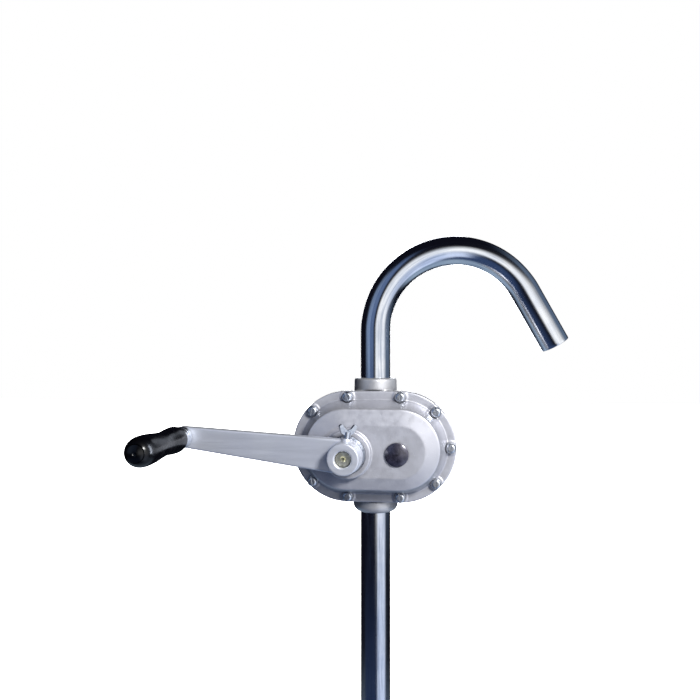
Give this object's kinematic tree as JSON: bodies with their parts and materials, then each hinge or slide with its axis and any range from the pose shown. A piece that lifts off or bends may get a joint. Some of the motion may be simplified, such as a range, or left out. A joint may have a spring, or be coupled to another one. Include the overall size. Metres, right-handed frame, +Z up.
{
  "type": "drum barrel pump",
  "caption": "Hand-cranked rotary drum pump: gear head with bolted cover, bent discharge spout, suction tube, crank with turning grip, sliding bung adaptor.",
  "frame": {"origin": "on the suction tube's axis, in the plane where the bung adaptor's washer seats on the drum", "axes": "+Z up along the suction tube, -Y towards the cover and crank, +X the side the spout leads to"},
  "size_m": [0.412, 0.2351, 1.13],
  "materials": {
    "cast_casing": "satin as-cast aluminium",
    "cast_cover": "satin as-cast aluminium",
    "cast_crank": "satin linished aluminium",
    "cast_adaptor": "satin as-cast aluminium",
    "gasket_paper": "compressed fibre sheet",
    "zinc_steel": "bright zinc plate",
    "shaft_steel": "yellow-passivated turned steel",
    "bronze": "sintered bronze",
    "seal_rubber": "black nitrile",
    "dark_cap": "dark gunmetal",
    "tube_zinc": "bright zinc-plated steel tube",
    "coupling_zinc": "zinc-plated socket",
    "strainer_plastic": "moulded black",
    "gear_iron": "machined iron",
    "grip_black": "polished black"
  },
  "bodies": {
    "adaptor": {"bung_adaptor": "cast_adaptor", "adaptor_ring": "seal_rubber", "bung_washer": "seal_rubber"},
    "clamp_screw": {"clamp_screw": "zinc_steel"},
    "pump": {"rear_casing": "cast_casing", "front_cover": "cast_cover", "cover_gasket": "gasket_paper", "cover_screws": "zinc_steel", "cover_washers": "zinc_steel", "drive_bush_front": "bronze", "drive_bush_rear": "bronze", "shaft_seal": "seal_rubber", "seal_retainer": "zinc_steel", "idler_axle": "shaft_steel", "idler_cap": "dark_cap", "discharge_spout": "tube_zinc", "suction_tube_upper": "tube_zinc", "suction_coupling": "coupling_zinc", "suction_tube_lower": "tube_zinc", "foot_strainer": "strainer_plastic"},
    "crank": {"drive_shaft": "shaft_steel", "drive_gear": "gear_iron", "gear_key": "shaft_steel", "crank_arm": "cast_crank", "grip_spindle": "zinc_steel"},
    "crank_wing_screw": {"crank_wing_screw": "zinc_steel"},
    "grip": {"grip_sleeve": "grip_black", "grip_cap": "grip_black"},
    "idler": {"idler_gear": "gear_iron", "idler_bush_front": "bronze", "idler_bush_rear": "bronze"}
  },
  "joints": [
    {"name": "depth_slide", "type": "slide", "parent": "adaptor", "child": "pump", "axis": [0, 0, 1], "range_m": [-0.218, 0.095]},
    {"name": "clamp_turn", "type": "hinge", "parent": "adaptor", "child": "clamp_screw", "pos_m": [0, -0.0325, 0.024], "axis": [0, -1, 0], "range_deg": [0, 720]},
    {"name": "crank_turn", "type": "hinge", "parent": "pump", "child": "crank", "pos_m": [-0.025, 0, 0.326], "axis": [0, -1, 0], "continuous": true},
    {"name": "idler_turn", "type": "hinge", "parent": "pump", "child": "idler", "pos_m": [0.025, 0, 0.326], "axis": [0, -1, 0], "continuous": true},
    {"name": "wing_turn", "type": "hinge", "parent": "crank", "child": "crank_wing_screw", "pos_m": [-0.02302, -0.072, 0.34449], "axis": [0.1063, 0, 0.9943], "range_deg": [0, 720]},
    {"name": "grip_turn", "type": "hinge", "parent": "crank", "child": "grip", "pos_m": [-0.18907, -0.13, 0.34353], "axis": [0, -1, 0], "continuous": true}
  ],
  "couplings": [
    {"joint": "idler_turn", "follows": "crank_turn", "ratio": -1}
  ]
}
